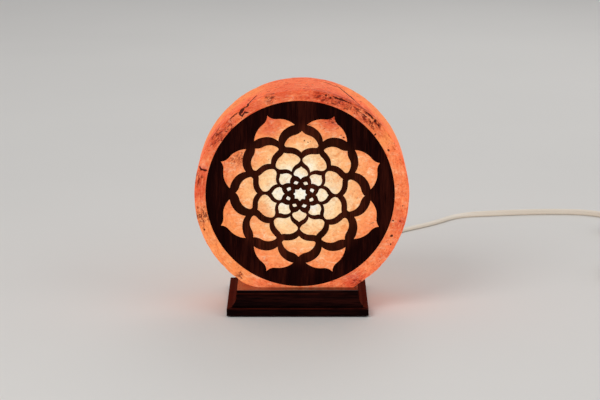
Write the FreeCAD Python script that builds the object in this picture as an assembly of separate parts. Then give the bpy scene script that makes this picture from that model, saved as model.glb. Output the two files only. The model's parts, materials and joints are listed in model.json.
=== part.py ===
import FreeCAD
import Part
import math
import os

# A rock-salt lamp: a thick round disc of salt on a moulded wooden base, with a round wooden
# fretwork panel on its front, a candle bulb in a bore that comes up from below, and a mains
# lead with a rocker switch, a coil of spare length and a two-pin plug.
#
# Millimetres, +Z up, the front faces -Y. The origin is on the table, below the middle of the
# salt disc's width and of the base's depth.

V = FreeCAD.Vector
X = V(1, 0, 0)
Y = V(0, 1, 0)
Z = V(0, 0, 1)

# ---- driving dimensions -------------------------------------------------------------------

# Play between pieces that slip into each other, and of a pin in its hole.
slip_gap = 0.1
pin_gap = 0.05
cut_past = 1.0  # how far a cut runs on past the face that it opens

# Wooden base: a flat board that carries a moulded plinth, cut from one block.
base_width = 120.0
base_depth = 100.0
base_shift = -3.6  # the base stands a little to the left of the disc's middle
board_height = 6.5
board_round = 1.2
ledge_width = 4.6
skirt_height = 1.2  # the upright strip at the foot of the moulding
cove_width = 3.2
cove_height = 8.3
step_width = 0.85
band_height = 4.4  # the upright band at the top of the moulding
foot_radius = 6.0
foot_height = 1.2
foot_inset = 11.0

# Salt disc.
salt_radius = 90.8
salt_thickness = 68.0
salt_shift = -1.0  # its middle, from the middle of the base's depth
salt_drop = 79.7  # from the disc's centre down to its flat foot
salt_edge = 1.2
bore_radius = 23.0
crown_gap = 6.0  # from the top of the bulb to the top of the bore

# Fretwork panel, glued to the front of the disc.
panel_radius = 79.5
panel_thickness = 4.0
panel_shift_x = -1.45
panel_shift_z = 2.6
glue_thickness = 0.4
glue_radius = 4.0
glue_ring = 72.0

# Openings of the fretwork. Each is half an outline, across and outward from the panel's
# centre: its outer tip, then the arcs down its right side as (a point on the arc, its end).
# turn is how far the ring of openings is turned from the even division of the circle.
petals = 8
outer_petal = {
    "offset": 0.5,
    "turn": -0.5,
    "tip": (0.0, 73.0),
    "arcs": [
        ((2.4, 69.4), (6.4, 67.2)),
        ((13.3, 63.5), (18.6, 56.3)),
        ((14.4, 56.9), (9.8, 56.3)),
        ((4.2, 53.8), (0.0, 48.8)),
    ],
}
second_petal = {
    "offset": 0.0,
    "turn": -1.5,
    "tip": (0.0, 54.7),
    "arcs": [
        ((2.4, 52.5), (6.2, 50.9)),
        ((11.2, 47.9), (14.1, 42.6)),
        ((13.7, 40.6), (12.2, 39.8)),
        ((9.4, 39.8), (6.6, 39.5)),
        ((2.9, 38.1), (0.0, 35.6)),
    ],
}
third_petal = {
    "offset": 0.5,
    "turn": -2.0,
    "tip": (0.0, 38.5),
    "arcs": [
        ((1.8, 37.3), (3.9, 36.4)),
        ((8.7, 33.2), (10.8, 29.4)),
        ((10.4, 27.5), (8.8, 25.8)),
        ((7.3, 25.1), (5.6, 24.7)),
        ((2.5, 23.3), (0.0, 20.4)),
    ],
}
fourth_petal = {
    "offset": 0.0,
    "turn": -2.0,
    "tip": (0.0, 24.5),
    "arcs": [
        ((0.9, 23.5), (2.2, 22.7)),
        ((4.9, 20.5), (6.05, 17.7)),
        ((5.7, 16.3), (4.5, 15.4)),
        ((1.8, 14.4), (0.0, 12.6)),
    ],
}
inner_petal = {
    "offset": 0.5,
    "turn": -3.5,
    "tip": (0.0, 12.5),
    "arcs": [
        ((1.4, 11.6), (2.35, 10.2)),
        ((1.2, 9.3), (0.0, 8.5)),
    ],
}
star_turn = -3.5
star_tip_radius = 6.1
star_notch_radius = 4.6

# Screws that hold the disc to the base, each in a plastic plug set in the salt.
screw_radius = 2.0
screw_head_radius = 4.0
screw_head_height = 2.4
screw_length = 40.0
screw_tip = 4.0
screw_sink = 0.4
screw_spacing = 68.0
plug_hole_radius = 4.0
plug_hole_rest = 1.0  # from the end of the plug to the end of its hole
wall_plug_length = 24.0
wall_plug_grooves = 6
wall_plug_groove_width = 1.8
wall_plug_groove_depth = 0.5
wall_plug_slit_length = 15.0
wall_plug_slit_width = 1.0

# Recesses in the heads of all the screws.
recess_width = 0.9
recess_share = 0.6  # of the head, across and up
slot_width = 0.8

# Bulb holder, held in the bore by the spring arms of its bracket.
holder_lift = 4.4  # from the base's top to the underside of the holder
cap_radius = 13.5
cap_height = 10.0
cap_wall = 2.0
cap_floor = 2.2
grip_flutes = 18
grip_flute_radius = 1.3
grip_flute_depth = 0.5
grip_height = 8.0
neck_radius = 11.6
neck_height = 4.0
shell_radius = 14.0
shell_height = 30.0
mouth_radius = 7.9
mouth_height = 1.4
core_height = 5.0
sleeve_radius = 7.2
sleeve_wall = 0.35
sleeve_flange = 9.6
terminal_spacing = 14.0
terminal_radius = 1.4
terminal_head_radius = 2.4
terminal_head_height = 1.6
nipple_radius = 5.0
nipple_bore = 3.7
nipple_drop = 4.5
nut_across = 14.0
nut_height = 2.6
strip_thickness = 0.6
clip_width = 9.0
clip_eye_radius = 9.0
clip_arm_height = 24.0
clip_shoulder_drop = 1.5
clip_shoulder_out = 0.9
clip_crest_out = 2.4
clip_crest_drop = 0.6
clip_barb_drop = 15.0
clip_tail_in = 1.6
clip_tail_drop = 4.0
contact_width = 4.0
contact_thickness = 0.5
contact_rise = 3.5
contact_end = 2.0  # from the sleeve to the end of the flat stretch
contact_fold = 2.5
contact_fold_out = 1.0
contact_fold_up = 0.8

# Candle bulb with a small screw cap. Heights are from the tip of its cap.
bulb_length = 98.0
bulb_radius = 17.5
bulb_belly = 51.0
bulb_tip_radius = 4.5
bulb_tip_rise = 3.0
bulb_neck_radius = 7.6
bulb_shoulder = 25.0
belly_flare = (0.62, 0.36)  # a point below the belly, as shares of the widening and the height
belly_taper = (0.63, 0.6)  # a point above the belly, the same way
glass_wall = 0.8
glass_sink = 4.0  # how far the glass reaches down into the cap's skirt
cap_tip_radius = 2.3
cap_tip_height = 1.4
cap_glass_height = 4.6
cap_thread_radius = 6.9
cap_thread_depth = 0.55
cap_thread_pitch = 2.8
cap_thread_turns = 4
cap_skirt_radius = 8.5
cap_skirt_height = 6.0
cap_skirt_slope = 1.0
cap_sheet = 0.4
insulator_flare = 0.6
stem_radius = 3.2
stem_flare = 1.6
stem_height = 42.0
stem_top_radius = 2.24
filament_height = 54.0
filament_half = 8.5
filament_radius = 0.35
filament_loop_rise = 3.0
support_seat = 6.0  # the stretch of a support that lies along the stem
support_lean = 0.4
support_rise = 2.0
support_hook = 2.0

# Lead, and the strap that holds it under the base.
cord_diameter = 5.8
strap_length = 26.0
strap_width = 8.0
strap_thickness = 1.4
strap_sink = 0.2
strap_inset = 15.0  # from the back of the base to the middle of the strap
strap_screw_spacing = 17.0
strap_screw_radius = 1.2
strap_screw_head = 2.3
strap_screw_length = 8.0
groove_play = 0.6
core_wire_radius = 1.2
core_run = 2.0  # straight run at both ends of a core in the holder
sheath_past = 1.0  # how far the sheath reaches past the floor of the holder's cap
nipple_run = 1.0  # straight run below the nipple

# Route of the free lead on the table, from the back of the base to the switch.
rest_z = cord_diameter / 2
exit_run = 18.0  # straight run out of the base
to_switch_points = [
    (1.5, 88.0, 4.0),
    (5.5, 113.0, rest_z),
    (16.5, 145.0, rest_z),
    (38.0, 178.0, rest_z),
    (67.0, 208.0, rest_z),
    (102.0, 240.0, rest_z),
    (133.0, 268.0, rest_z),
    (157.0, 299.0, rest_z),
    (195.0, 308.0, rest_z),
    (231.0, 311.5, rest_z),
    (266.0, 320.0, rest_z),
    (293.0, 308.0, rest_z),
    (321.0, 293.0, rest_z),
    (346.0, 275.0, rest_z + 0.5),
    (358.5, 251.0, rest_z + 3.0),
]
switch_run = 13.0  # straight run at both ends of the switch

# Rocker switch in the lead. It lies along Y.
switch_x = 360.5
switch_y = 191.0
switch_length = 62.0
switch_width = 26.0
switch_end_width = 13.0
switch_height = 17.0
switch_split = 8.5
switch_wall = 1.8
switch_edge = 1.6
rocker_length = 20.0
rocker_width = 11.0
rocker_rise = 4.6  # from the pivot to the ends of the rocker's top
rocker_dish = 1.3
rocker_depth = 3.0
rocker_cheek = 3.0  # height of the rocker's flat ends
rocker_play = 0.4
rocker_tilt = 9.0
pivot_drop = 3.6  # from the top of the housing down to the pivot
rocker_pin_radius = 1.0
ear_thickness = 1.8
ear_half = 3.0
ear_below = 1.4  # wall of the ears below the pin
nose_radius = 1.5
nose_root = 0.5  # from the rocker's pin down to the top of the nose
nose_gap = 0.5
bridge_length = 18.0
bridge_width = 5.0
bridge_thickness = 0.6
bridge_height = 6.5
bridge_ratio = 0.6
post_gap = 0.25
post_length = 3.0
tab_length = 7.0
sheath_stub = 5.0
tab_thickness = 0.8
boss_radius = 2.7
boss_x = 8.4
boss_y = 13.5
housing_screw_radius = 1.2
housing_screw_head = 2.1
housing_screw_head_height = 1.4
housing_screw_rest = 1.0  # from the screw's tip to the underside of the roof

# Spare length: a coil of two layers, wound in on the table and out again on top.
coil_x = 322.0
coil_y = 62.0
coil_middle_radius = 32.0
coil_half_turns = 4  # in each layer, before and after the half turn that climbs
coil_play = 0.5  # between neighbouring turns
climb_play = 1.2  # more room inside the layers for the half turn that climbs
tie_thickness = 0.6
tie_width = 5.0
tie_play = 0.5
tie_round = 0.54
to_coil_points = [
    (361.8, 127.0, 5.8),
    (361.6, 106.0, 3.3),
]
coil_run = 21.0  # straight run into the coil
from_coil_run = 17.0
to_plug_points = [
    (286.0, 98.0, 7.4),
    (294.0, 116.0, 4.8),
    (304.5, 132.5, 4.4),
    (312.5, 149.5, 5.6),
]
plug_run = 17.0

# Moulded two-pin plug. Its pins point to +Y.
plug_x = 315.5
plug_y = 184.0  # where the lead enters the strain relief
relief_length = 26.0
relief_thin = 3.6
relief_thick = 5.0
relief_grooves = 4
relief_groove_width = 2.2
relief_groove_depth = 0.54
relief_first = 0.7  # where the first groove lies, in grooves from the thin end
plug_width = 35.0
plug_thickness = 13.7
plug_rear_width = 15.0
plug_rear_thickness = 11.0
plug_body_length = 34.0
plug_bend_width = 33.0
plug_bend_place = 24.5  # from the rear to where the body is nearly at its full width
plug_round = 5.0
plug_flat = 0.4  # least half height of the flat sides
pin_spacing = 18.6
pin_radius = 2.0
pin_length = 19.0
pin_dome = 1.2
pin_core_radius = 1.4
pin_root = 8.0
pin_sleeve_radius = 1.8
pin_sleeve_length = 10.0

# How the bends of strips and routes are drawn.
sharpest_mitre = 0.3
bend_share = 0.45  # how much of each run between two corners a bend takes

# ---- places worked out from them ----------------------------------------------------------

board_z = foot_height
ledge_z = board_z + board_height
base_top = ledge_z + skirt_height + cove_height + band_height
base_back = base_depth / 2
salt_z = base_top + salt_drop
salt_front = salt_shift - salt_thickness / 2
panel_back = salt_front - glue_thickness
panel_front = panel_back - panel_thickness
panel_x = panel_shift_x
panel_z = salt_z + panel_shift_z
bore_y = salt_shift
holder_z = base_top + holder_lift
neck_z = holder_z + cap_height
core_z = neck_z + neck_height
sleeve_z = core_z + core_height
shell_top = neck_z + shell_height
bulb_z = sleeve_z + contact_rise
cord_radius = cord_diameter / 2
strap_z = board_z + strap_sink
lead_z = strap_z + strap_thickness + pin_gap + cord_radius
pivot_z = switch_height - pivot_drop
coil_pitch = cord_diameter + coil_play
coil_z = tie_thickness + tie_play + cord_radius
coil_reach = coil_middle_radius + coil_pitch * coil_half_turns / 4
plug_z = plug_thickness / 2


# ---- shapes -------------------------------------------------------------------------------


def block(low, high):
    """A box between two corners."""
    return Part.makeBox(high[0] - low[0], high[1] - low[1], high[2] - low[2], V(*low))


def rod(radius, length, start, axis=Z):
    """A cylinder from a start point along an axis."""
    return Part.makeCylinder(radius, length, V(*start), axis)


def closed_face(points):
    """A face inside a ring of straight edges."""
    corners = [V(*p) for p in points]
    return Part.Face(Part.makePolygon(corners + corners[:1]))


def turned(profile, x, y, z):
    """A solid turned about an upright axis, from edges between (radius, height) points.
    A step of three points is an arc."""
    edges = []
    for step in profile:
        places = [V(r, 0, h) for r, h in step]
        edges.append(Part.Arc(*places).toShape() if len(step) == 3 else Part.makeLine(*places))
    solid = Part.Face(Part.Wire(edges)).revolve(V(0, 0, 0), Z, 360)
    solid.translate(V(x, y, z))
    return solid


def dome(radius, rim, crown):
    """The middle of the arc of a ball from a rim to the crown on the axis, and the crown."""
    way = math.copysign(1, crown - rim)
    rise = abs(crown - rim)
    ball = (radius**2 + rise**2) / (2 * rise)
    half = math.atan2(radius, ball - rise) / 2
    return (ball * math.sin(half), crown - way * ball * (1 - math.cos(half))), (0, crown)


def ring_profile(points):
    """The steps round a closed profile with straight sides."""
    return list(zip(points, points[1:] + points[:1]))


def grooved(radius_at, middles, width, depth):
    """Profile points of round grooves with square walls, at heights on a cone or a cylinder."""
    points = []
    for middle in middles:
        for step, sunk in ((-0.5, 0), (-0.5, depth), (0.5, depth), (0.5, 0)):
            up = middle + step * width
            points.append((radius_at(up) - sunk, up))
    return points


def strip(points, thickness, width, place):
    """A bent strip: a line of (across, up) points with a thickness, as wide along Y."""
    sides = ([], [])
    for i, (a, b) in enumerate(points):
        before = points[max(i - 1, 0)]
        after = points[min(i + 1, len(points) - 1)]
        entry = V(a - before[0], 0, b - before[1]) if i else V(after[0] - a, 0, after[1] - b)
        leave = V(after[0] - a, 0, after[1] - b) if i < len(points) - 1 else entry
        entry.normalize()
        leave.normalize()
        normal = V(-entry.z - leave.z, 0, entry.x + leave.x)
        normal.normalize()
        reach = thickness / 2 / max(sharpest_mitre, normal.dot(V(-entry.z, 0, entry.x)))
        for side, sign in zip(sides, (1, -1)):
            side.append((a + sign * reach * normal.x, -width / 2, b + sign * reach * normal.z))
    face = closed_face(sides[0] + sides[1][::-1])
    solid = face.extrude(V(0, width, 0))
    solid.translate(V(*place))
    return solid


def route_edges(points):
    """The runs of a route, joined by the largest tangent arcs. Every second edge is an arc."""
    places = [V(*p) for p in points]
    edges = []
    start = places[0]
    for before, corner, after in zip(places, places[1:], places[2:]):
        entry = corner - before
        leave = after - corner
        reach = bend_share * min(entry.Length, leave.Length)
        half = entry.getAngle(leave) / 2
        entry.normalize()
        leave.normalize()
        radius = reach / math.tan(half)
        inward = leave - entry
        inward.normalize()
        first = corner - entry * reach
        last = corner + leave * reach
        middle = corner + inward * (radius / math.cos(half) - radius)
        edges.append(Part.LineSegment(start, first).toShape())
        edges.append(Part.Arc(first, middle, last).toShape())
        start = last
    edges.append(Part.LineSegment(start, places[-1]).toShape())
    return edges


def swept(edges, radius):
    """A round bar along a chain of edges."""
    path = Part.Wire(edges)
    first = edges[0]
    start = first.valueAt(first.FirstParameter)
    along = first.tangentAt(first.FirstParameter)
    section = Part.Wire(Part.makeCircle(radius, start, along))
    return Part.makeSolid(path.makePipeShell([section], True, False))


def cord_tube(name, points):
    """A stretch of lead, with its radii and its volume against section times length."""
    edges = route_edges(points)
    solid = swept(edges, cord_radius)
    length = sum(e.Length for e in edges)
    share = solid.Volume / (math.pi * cord_radius**2 * length)
    least = round(min(e.Curve.Radius for e in edges[1::2]), 1)
    print(name, "length", round(length, 1), "least radius", least, "volume share", round(share, 5))
    return solid


def group(solids):
    """Separate solids that share a node."""
    return Part.makeCompound(solids)


def wood_screw(radius, head_radius, head_height, length, tip, place):
    """A countersunk screw that points up, with a cross recess in its head."""
    profile = [(0, 0), (head_radius, 0), (radius, head_height), (radius, length - tip), (0, length)]
    solid = turned(ring_profile(profile), *place)
    arm = head_radius * recess_share
    half = recess_width / 2
    x, y, z = place
    top = z + head_height * recess_share
    for across, along in ((arm, half), (half, arm)):
        solid = solid.cut(block((x - across, y - along, z), (x + across, y + along, top)))
    return solid


def slotted_screw(radius, head_radius, head_height, length, place):
    """A flat-headed screw that points up, from the underside of its slotted head."""
    x, y, z = place
    half = slot_width / 2
    screw = rod(head_radius, head_height, place).fuse(rod(radius, length, place))
    slot = block((x - head_radius, y - half, z), (x + head_radius, y + half, z + head_height / 2))
    return screw.cut(slot).removeSplitter()


# ---- base ---------------------------------------------------------------------------------


def moulding_face(half, along):
    """The base's outline seen along X or Y: board, ledge, skirt, cove, step and band."""
    skirt = half - ledge_width
    cove = skirt - cove_width
    band = cove - step_width
    skirt_top = ledge_z + skirt_height
    cove_top = skirt_top + cove_height
    bend = math.sqrt(0.5)

    def place(out, up):
        return V(0, out, up) if along is X else V(out, 0, up)

    def side(sign):
        edge = ledge_z - board_round
        turn = half - board_round
        round_middle = place(sign * (turn + board_round * bend), edge + board_round * bend)
        cove_foot = place(sign * skirt, skirt_top)
        cove_middle = place(sign * (skirt - cove_width * bend), cove_top - cove_height * bend)
        return [
            Part.makeLine(place(0, board_z), place(sign * half, board_z)),
            Part.makeLine(place(sign * half, board_z), place(sign * half, edge)),
            Part.Arc(place(sign * half, edge), round_middle, place(sign * turn, ledge_z)).toShape(),
            Part.makeLine(place(sign * turn, ledge_z), place(sign * skirt, ledge_z)),
            Part.makeLine(place(sign * skirt, ledge_z), cove_foot),
            Part.Arc(cove_foot, cove_middle, place(sign * cove, cove_top)).toShape(),
            Part.makeLine(place(sign * cove, cove_top), place(sign * band, cove_top)),
            Part.makeLine(place(sign * band, cove_top), place(sign * band, base_top)),
            Part.makeLine(place(sign * band, base_top), place(0, base_top)),
        ]

    return Part.Face(Part.Wire(Part.__sortEdges__(side(1) + side(-1))))


def screw_places():
    return [(side * screw_spacing / 2, bore_y) for side in (-1, 1)]


def strap_place():
    return (0.0, base_back - strap_inset)


def wooden_base():
    long_bar = moulding_face(base_depth / 2, X).extrude(V(base_width, 0, 0))
    long_bar.translate(V(base_shift - base_width / 2, 0, 0))
    cross_bar = moulding_face(base_width / 2, Y).extrude(V(0, base_depth, 0))
    cross_bar.translate(V(base_shift, -base_depth / 2, 0))
    wood = long_bar.common(cross_bar)
    wood = wood.cut(rod(bore_radius, base_top, (0, bore_y, 0)))
    half = cord_radius + groove_play
    back = base_back + cut_past
    wood = wood.cut(block((-half, bore_y, 0), (half, back, lead_z)))
    wood = wood.cut(rod(half, back - bore_y, (0, bore_y, lead_z), Y))
    x, y = strap_place()
    reach = strap_length / 2 + slip_gap
    across = strap_width / 2 + slip_gap
    strap_top = strap_z + strap_thickness
    wood = wood.cut(block((x - reach, y - across, 0), (x + reach, y + across, strap_top)))
    for side in (-1, 1):
        start = (x + side * strap_screw_spacing / 2, y, strap_z)
        wood = wood.cut(rod(strap_screw_radius + pin_gap, strap_screw_length, start))
    for x, y in screw_places():
        wood = wood.cut(rod(screw_radius + slip_gap, base_top, (x, y, 0)))
        slope = screw_head_radius - screw_radius
        low = board_z + screw_sink
        mouth = [
            (0, board_z - cut_past),
            (screw_head_radius + slip_gap, board_z - cut_past),
            (screw_head_radius + slip_gap, low),
            (screw_head_radius + slip_gap - slope, low + screw_head_height),
            (0, low + screw_head_height),
        ]
        wood = wood.cut(turned(ring_profile(mouth), x, y, 0))
    return wood.removeSplitter()


def rubber_feet():
    feet = []
    for across in (-1, 1):
        for along in (-1, 1):
            x = base_shift + across * (base_width / 2 - foot_inset)
            y = along * (base_depth / 2 - foot_inset)
            feet.append(rod(foot_radius, foot_height, (x, y, 0)))
    return group(feet)


def salt_screws():
    sizes = (screw_radius, screw_head_radius, screw_head_height, screw_length, screw_tip)
    low = board_z + screw_sink
    return group([wood_screw(*sizes, (x, y, low)) for x, y in screw_places()])


def wall_plugs():
    """Plugs with grooves round them, split from the tip so that the screw spreads them."""
    bore = screw_radius + pin_gap
    pitch = wall_plug_length / (wall_plug_grooves + 1)
    middles = [(number + 1) * pitch for number in range(wall_plug_grooves)]
    outline = [(bore, 0), (plug_hole_radius, 0)]
    groove = (wall_plug_groove_width, wall_plug_groove_depth)
    outline += grooved(lambda up: plug_hole_radius, middles, *groove)
    outline += [(plug_hole_radius, wall_plug_length), (bore, wall_plug_length)]
    top = base_top + wall_plug_length
    half = wall_plug_slit_width / 2
    plugs = []
    for x, y in screw_places():
        plug = turned(ring_profile(outline), x, y, base_top)
        low = (x - plug_hole_radius, y - half, top - wall_plug_slit_length)
        plugs.append(plug.cut(block(low, (x + plug_hole_radius, y + half, top))))
    return group(plugs)


# ---- salt and fretwork --------------------------------------------------------------------


def salt_disc():
    disc = rod(salt_radius, salt_thickness, (0, salt_front, salt_z), Y)
    reach = salt_radius + cut_past
    front = salt_front - cut_past
    back = salt_front + salt_thickness + cut_past
    disc = disc.cut(block((-reach, front, base_top - reach), (reach, back, base_top)))
    rims = [e for e in disc.Edges if abs(e.BoundBox.YLength) < 1e-6]
    disc = disc.makeChamfer(salt_edge, rims)
    depth = bulb_z + bulb_length + crown_gap - base_top
    disc = disc.cut(rod(bore_radius, depth, (0, bore_y, base_top)))
    for x, y in screw_places():
        hole_depth = wall_plug_length + plug_hole_rest
        disc = disc.cut(rod(plug_hole_radius + pin_gap, hole_depth, (x, y, base_top)))
    return disc


def petal_wire(petal, number):
    """One opening of the fretwork, on the panel's front."""
    angle = math.radians((number + petal["offset"]) * 360 / petals + petal["turn"])
    out = V(math.cos(angle), 0, math.sin(angle))
    across = V(math.sin(angle), 0, -math.cos(angle))
    centre = V(panel_x, panel_front, panel_z)

    def place(side, point):
        return centre + across * (side * point[0]) + out * point[1]

    edges = []
    for side in (1, -1):
        start = petal["tip"]
        for middle, end in petal["arcs"]:
            edges.append(Part.Arc(place(side, start), place(side, middle), place(side, end)).toShape())
            start = end
    return Part.Wire(Part.__sortEdges__(edges))


def star_wire():
    corners = []
    for step in range(2 * petals):
        angle = math.radians(step * 180 / petals + star_turn)
        radius = star_notch_radius if step % 2 else star_tip_radius
        across = radius * math.cos(angle)
        up = radius * math.sin(angle)
        corners.append(V(panel_x + across, panel_front, panel_z + up))
    return Part.makePolygon(corners + corners[:1])


def fretwork_panel():
    rim = Part.Wire(Part.makeCircle(panel_radius, V(panel_x, panel_front, panel_z), Y))
    openings = [star_wire()]
    for petal in (outer_petal, second_petal, third_petal, fourth_petal, inner_petal):
        openings += [petal_wire(petal, number) for number in range(petals)]
    face = Part.makeFace([rim] + openings, "Part::FaceMakerBullseye")
    return face.extrude(V(0, panel_thickness, 0))


def glue_dabs():
    dabs = []
    for number in range(petals):
        angle = number * 2 * math.pi / petals
        x = panel_x + glue_ring * math.cos(angle)
        z = panel_z + glue_ring * math.sin(angle)
        dabs.append(rod(glue_radius, glue_thickness, (x, panel_back, z), Y))
    return group(dabs)


# ---- bulb holder --------------------------------------------------------------------------


def holder_cap():
    """The cup that closes the holder from below, with grip flutes round it."""
    inner = neck_radius - cap_wall
    profile = [
        (nipple_radius + pin_gap, 0),
        (cap_radius, 0),
        (cap_radius, cap_height),
        (neck_radius, cap_height),
        (neck_radius, cap_height + neck_height),
        (inner, cap_height + neck_height),
        (inner, cap_floor),
        (nipple_radius + pin_gap, cap_floor),
    ]
    cap = turned(ring_profile(profile), 0, bore_y, holder_z)
    ring = cap_radius - grip_flute_depth + grip_flute_radius
    flutes = []
    for number in range(grip_flutes):
        angle = 2 * math.pi * number / grip_flutes
        start = (ring * math.cos(angle), bore_y + ring * math.sin(angle), holder_z)
        flutes.append(rod(grip_flute_radius, grip_height, start))
    return cap.cut(flutes)


def holder_shell():
    inner = neck_radius + slip_gap
    profile = [
        (inner, 0),
        (shell_radius, 0),
        (shell_radius, shell_height),
        (mouth_radius, shell_height),
        (mouth_radius, shell_height - mouth_height),
        (inner, shell_height - mouth_height),
    ]
    return turned(ring_profile(profile), 0, bore_y, neck_z)


def terminal_places():
    return [(side * terminal_spacing / 2, bore_y) for side in (-1, 1)]


def holder_core():
    core = rod(neck_radius, core_height, (0, bore_y, core_z))
    for x, y in terminal_places():
        core = core.cut(rod(terminal_radius + pin_gap, core_height, (x, y, core_z)))
    return core


def socket_sleeve():
    height = shell_height - neck_height - core_height - mouth_height
    outer = sleeve_radius + sleeve_wall
    profile = [
        (sleeve_radius, 0),
        (sleeve_flange, 0),
        (sleeve_flange, sleeve_wall),
        (outer, sleeve_wall),
        (outer, height),
        (sleeve_radius, height),
    ]
    return turned(ring_profile(profile), 0, bore_y, sleeve_z)


def centre_contact():
    """The spring tongue that the tip of the bulb's cap presses on."""
    half = contact_thickness / 2
    reach = sleeve_radius - slip_gap
    top = contact_rise - half
    fold = reach - contact_fold
    line = [
        (-reach + contact_end, half),
        (fold, half),
        (fold + contact_fold_out, half + contact_fold_up),
        (-cap_tip_radius, top),
    ]
    contact = strip(line, contact_thickness, contact_width, (0, bore_y, sleeve_z))
    return contact.common(rod(reach, contact_rise, (0, bore_y, sleeve_z)))


def terminal_screws():
    length = terminal_head_height + core_height
    sizes = (terminal_radius, terminal_head_radius, terminal_head_height, length)
    low = core_z - terminal_head_height
    return group([slotted_screw(*sizes, (x, y, low)) for x, y in terminal_places()])


def nipple_bottom():
    return holder_z - nipple_drop


def threaded_nipple():
    length = nipple_drop + cap_floor
    tube = rod(nipple_radius, length, (0, bore_y, nipple_bottom()))
    return tube.cut(rod(nipple_bore, length, (0, bore_y, nipple_bottom())))


def bracket_nut():
    radius = nut_across / math.sqrt(3)
    low = holder_z - strip_thickness - nut_height
    corners = []
    for step in range(6):
        angle = math.radians(60 * step)
        corners.append((radius * math.cos(angle), bore_y + radius * math.sin(angle), low))
    nut = closed_face(corners).extrude(V(0, 0, nut_height))
    return nut.cut(rod(nipple_radius + pin_gap, nut_height, (0, bore_y, low)))


def clip_bracket():
    """A bent strip with an eye for the nipple and two barbed arms that grip the bore."""
    leg = shell_radius + slip_gap + strip_thickness
    reach = math.sqrt(bore_radius**2 - (clip_width / 2) ** 2) - pin_gap - strip_thickness / 2
    top = clip_arm_height
    barb = top - clip_barb_drop
    arm = [
        (leg, -strip_thickness / 2),
        (leg, top - clip_shoulder_drop),
        (leg + clip_shoulder_out, top),
        (leg + clip_crest_out, top - clip_crest_drop),
        (reach, barb),
        (reach - clip_tail_in, barb - clip_tail_drop),
    ]
    line = [(-a, b) for a, b in arm[::-1]] + arm
    bracket = strip(line, strip_thickness, clip_width, (0, bore_y, holder_z))
    foot = (0, bore_y, holder_z - strip_thickness)
    bracket = bracket.fuse(rod(clip_eye_radius, strip_thickness, foot))
    return bracket.cut(rod(nipple_radius + pin_gap, strip_thickness, foot)).removeSplitter()


# ---- bulb ---------------------------------------------------------------------------------


def glass_solid(inset):
    """The candle-shaped envelope, or the space inside it."""
    neck = bulb_neck_radius - inset
    belly = bulb_radius - inset
    start = bulb_shoulder - glass_sink
    top = bulb_length - inset
    tip = bulb_tip_radius - inset / 2
    tip_z = top - bulb_tip_rise
    flare = neck + (belly - neck) * belly_flare[0]
    climb = bulb_shoulder + (bulb_belly - bulb_shoulder) * belly_flare[1]
    taper = tip + (belly - tip) * belly_taper[0]
    rise = bulb_belly + (tip_z - bulb_belly) * belly_taper[1]
    profile = [
        ((0, start), (neck, start)),
        ((neck, start), (neck, bulb_shoulder)),
        ((neck, bulb_shoulder), (flare, climb), (belly, bulb_belly)),
        ((belly, bulb_belly), (taper, rise), (tip, tip_z)),
        ((tip, tip_z), *dome(tip, tip_z, top)),
        ((0, top), (0, start)),
    ]
    return turned(profile, 0, bore_y, bulb_z)


def bulb_glass():
    return glass_solid(0.0).cut(glass_solid(glass_wall))


def bulb_cap():
    """The pressed cap: its rolled thread, and the skirt that is cemented to the glass."""
    outer = [(cap_thread_radius - cap_thread_depth, cap_glass_height)]
    for turn in range(cap_thread_turns):
        low = cap_glass_height + (turn + 0.5) * cap_thread_pitch
        outer.append((cap_thread_radius, low))
        outer.append((cap_thread_radius - cap_thread_depth, low + cap_thread_pitch / 2))
    skirt_z = bulb_shoulder - cap_skirt_height
    outer.append((cap_thread_radius - cap_thread_depth, skirt_z - cap_skirt_slope))
    outer.append((cap_skirt_radius, skirt_z))
    outer.append((cap_skirt_radius, bulb_shoulder))
    inner = [(r - cap_sheet, z) for r, z in outer[::-1]]
    return turned(ring_profile(outer + inner), 0, bore_y, bulb_z)


def bulb_insulator():
    profile = [
        (0, cap_tip_height),
        (cap_tip_radius + insulator_flare, cap_tip_height),
        (cap_thread_radius - cap_thread_depth, cap_glass_height),
        (0, cap_glass_height),
    ]
    return turned(ring_profile(profile), 0, bore_y, bulb_z)


def bulb_tip():
    steps = [
        ((cap_tip_radius, cap_tip_height), *dome(cap_tip_radius, cap_tip_height, 0)),
        ((0, 0), (0, cap_tip_height)),
        ((0, cap_tip_height), (cap_tip_radius, cap_tip_height)),
    ]
    return turned(steps, 0, bore_y, bulb_z)


def bulb_stem():
    start = bulb_shoulder - glass_sink
    flare = bulb_neck_radius - glass_wall - pin_gap
    profile = [
        (0, start),
        (flare, start),
        (flare, start + stem_flare),
        (stem_radius, start + 2 * stem_flare),
        (stem_top_radius, stem_height),
        (0, stem_height),
    ]
    return turned(ring_profile(profile), 0, bore_y, bulb_z)


def bulb_filament():
    """The two supports and the hung filament between them, as one bent wire."""
    foot = stem_radius + filament_radius + pin_gap
    side = [
        (foot, stem_height - support_seat),
        (foot + support_lean, stem_height + support_rise),
        (filament_half, filament_height - support_hook),
        (filament_half / 2, filament_height + filament_loop_rise),
    ]
    line = side + [(0.0, filament_height)] + [(-a, b) for a, b in side[::-1]]
    return swept(route_edges([(a, bore_y, bulb_z + b) for a, b in line]), filament_radius)


# ---- lead ---------------------------------------------------------------------------------


def base_lead():
    """The sheathed lead from the holder, down and out along the groove to the base's back."""
    top = holder_z + cap_floor + sheath_past
    bend = nipple_bottom() - lead_z - nipple_run
    inward = bend * (1 - math.sqrt(0.5))
    turn = V(0, bore_y + inward, lead_z + inward)
    first = V(0, bore_y, lead_z + bend)
    last = V(0, bore_y + bend, lead_z)
    edges = [
        Part.LineSegment(V(0, bore_y, top), first).toShape(),
        Part.Arc(first, turn, last).toShape(),
        Part.LineSegment(last, V(0, base_back, lead_z)).toShape(),
    ]
    return swept(edges, cord_radius)


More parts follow.
